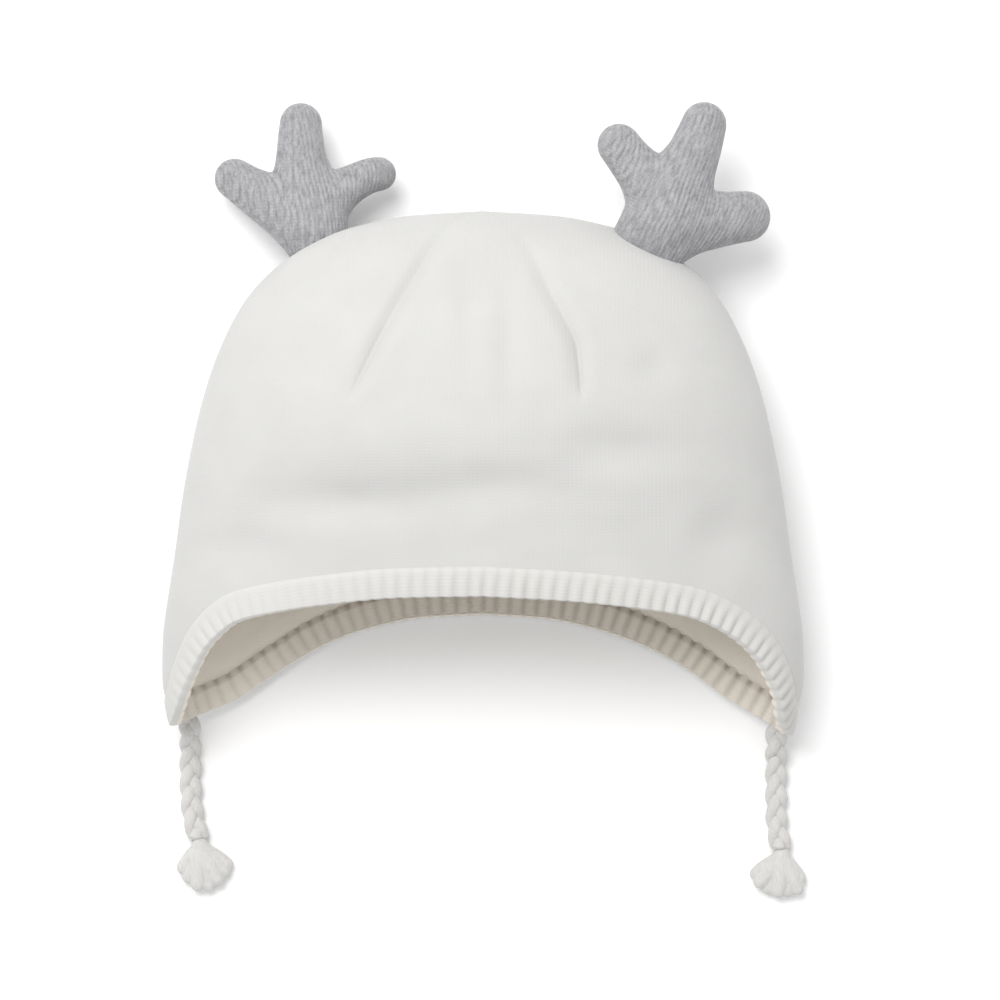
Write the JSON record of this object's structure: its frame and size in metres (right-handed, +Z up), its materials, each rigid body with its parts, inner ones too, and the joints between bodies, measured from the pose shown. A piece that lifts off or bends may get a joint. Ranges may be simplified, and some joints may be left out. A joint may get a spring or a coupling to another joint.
{
  "type": "antler beanie",
  "caption": "Soft knitted baby beanie lying on its back, with stuffed antlers on the crown, ear flaps, a ribbed edge band and plaited ties that end in tassels",
  "frame": {"origin": "the middle of the hat's base on the surface it lies on, under the box of the crown, band and antlers", "axes": "+X to the hat's right-hand side as the viewer sees its front, +Y from the opening towards the top of the crown and the antlers, +Z up from the surface"},
  "size_m": [0.1935, 0.2412, 0.0773],
  "materials": {
    "off_white_knit": "fine off-white jersey knit",
    "off_white_rib": "off-white ribbed knit",
    "heather_grey_knit": "heather grey knit, stuffed",
    "off_white_yarn": "off-white soft yarn"
  },
  "bodies": {
    "root": {"crown": "off_white_knit", "rib_band": "off_white_rib", "antler_left": "heather_grey_knit", "antler_right": "heather_grey_knit", "tie_left": "off_white_yarn", "tie_right": "off_white_yarn", "tassel_left": "off_white_yarn", "tassel_right": "off_white_yarn"}
  },
  "joints": []
}
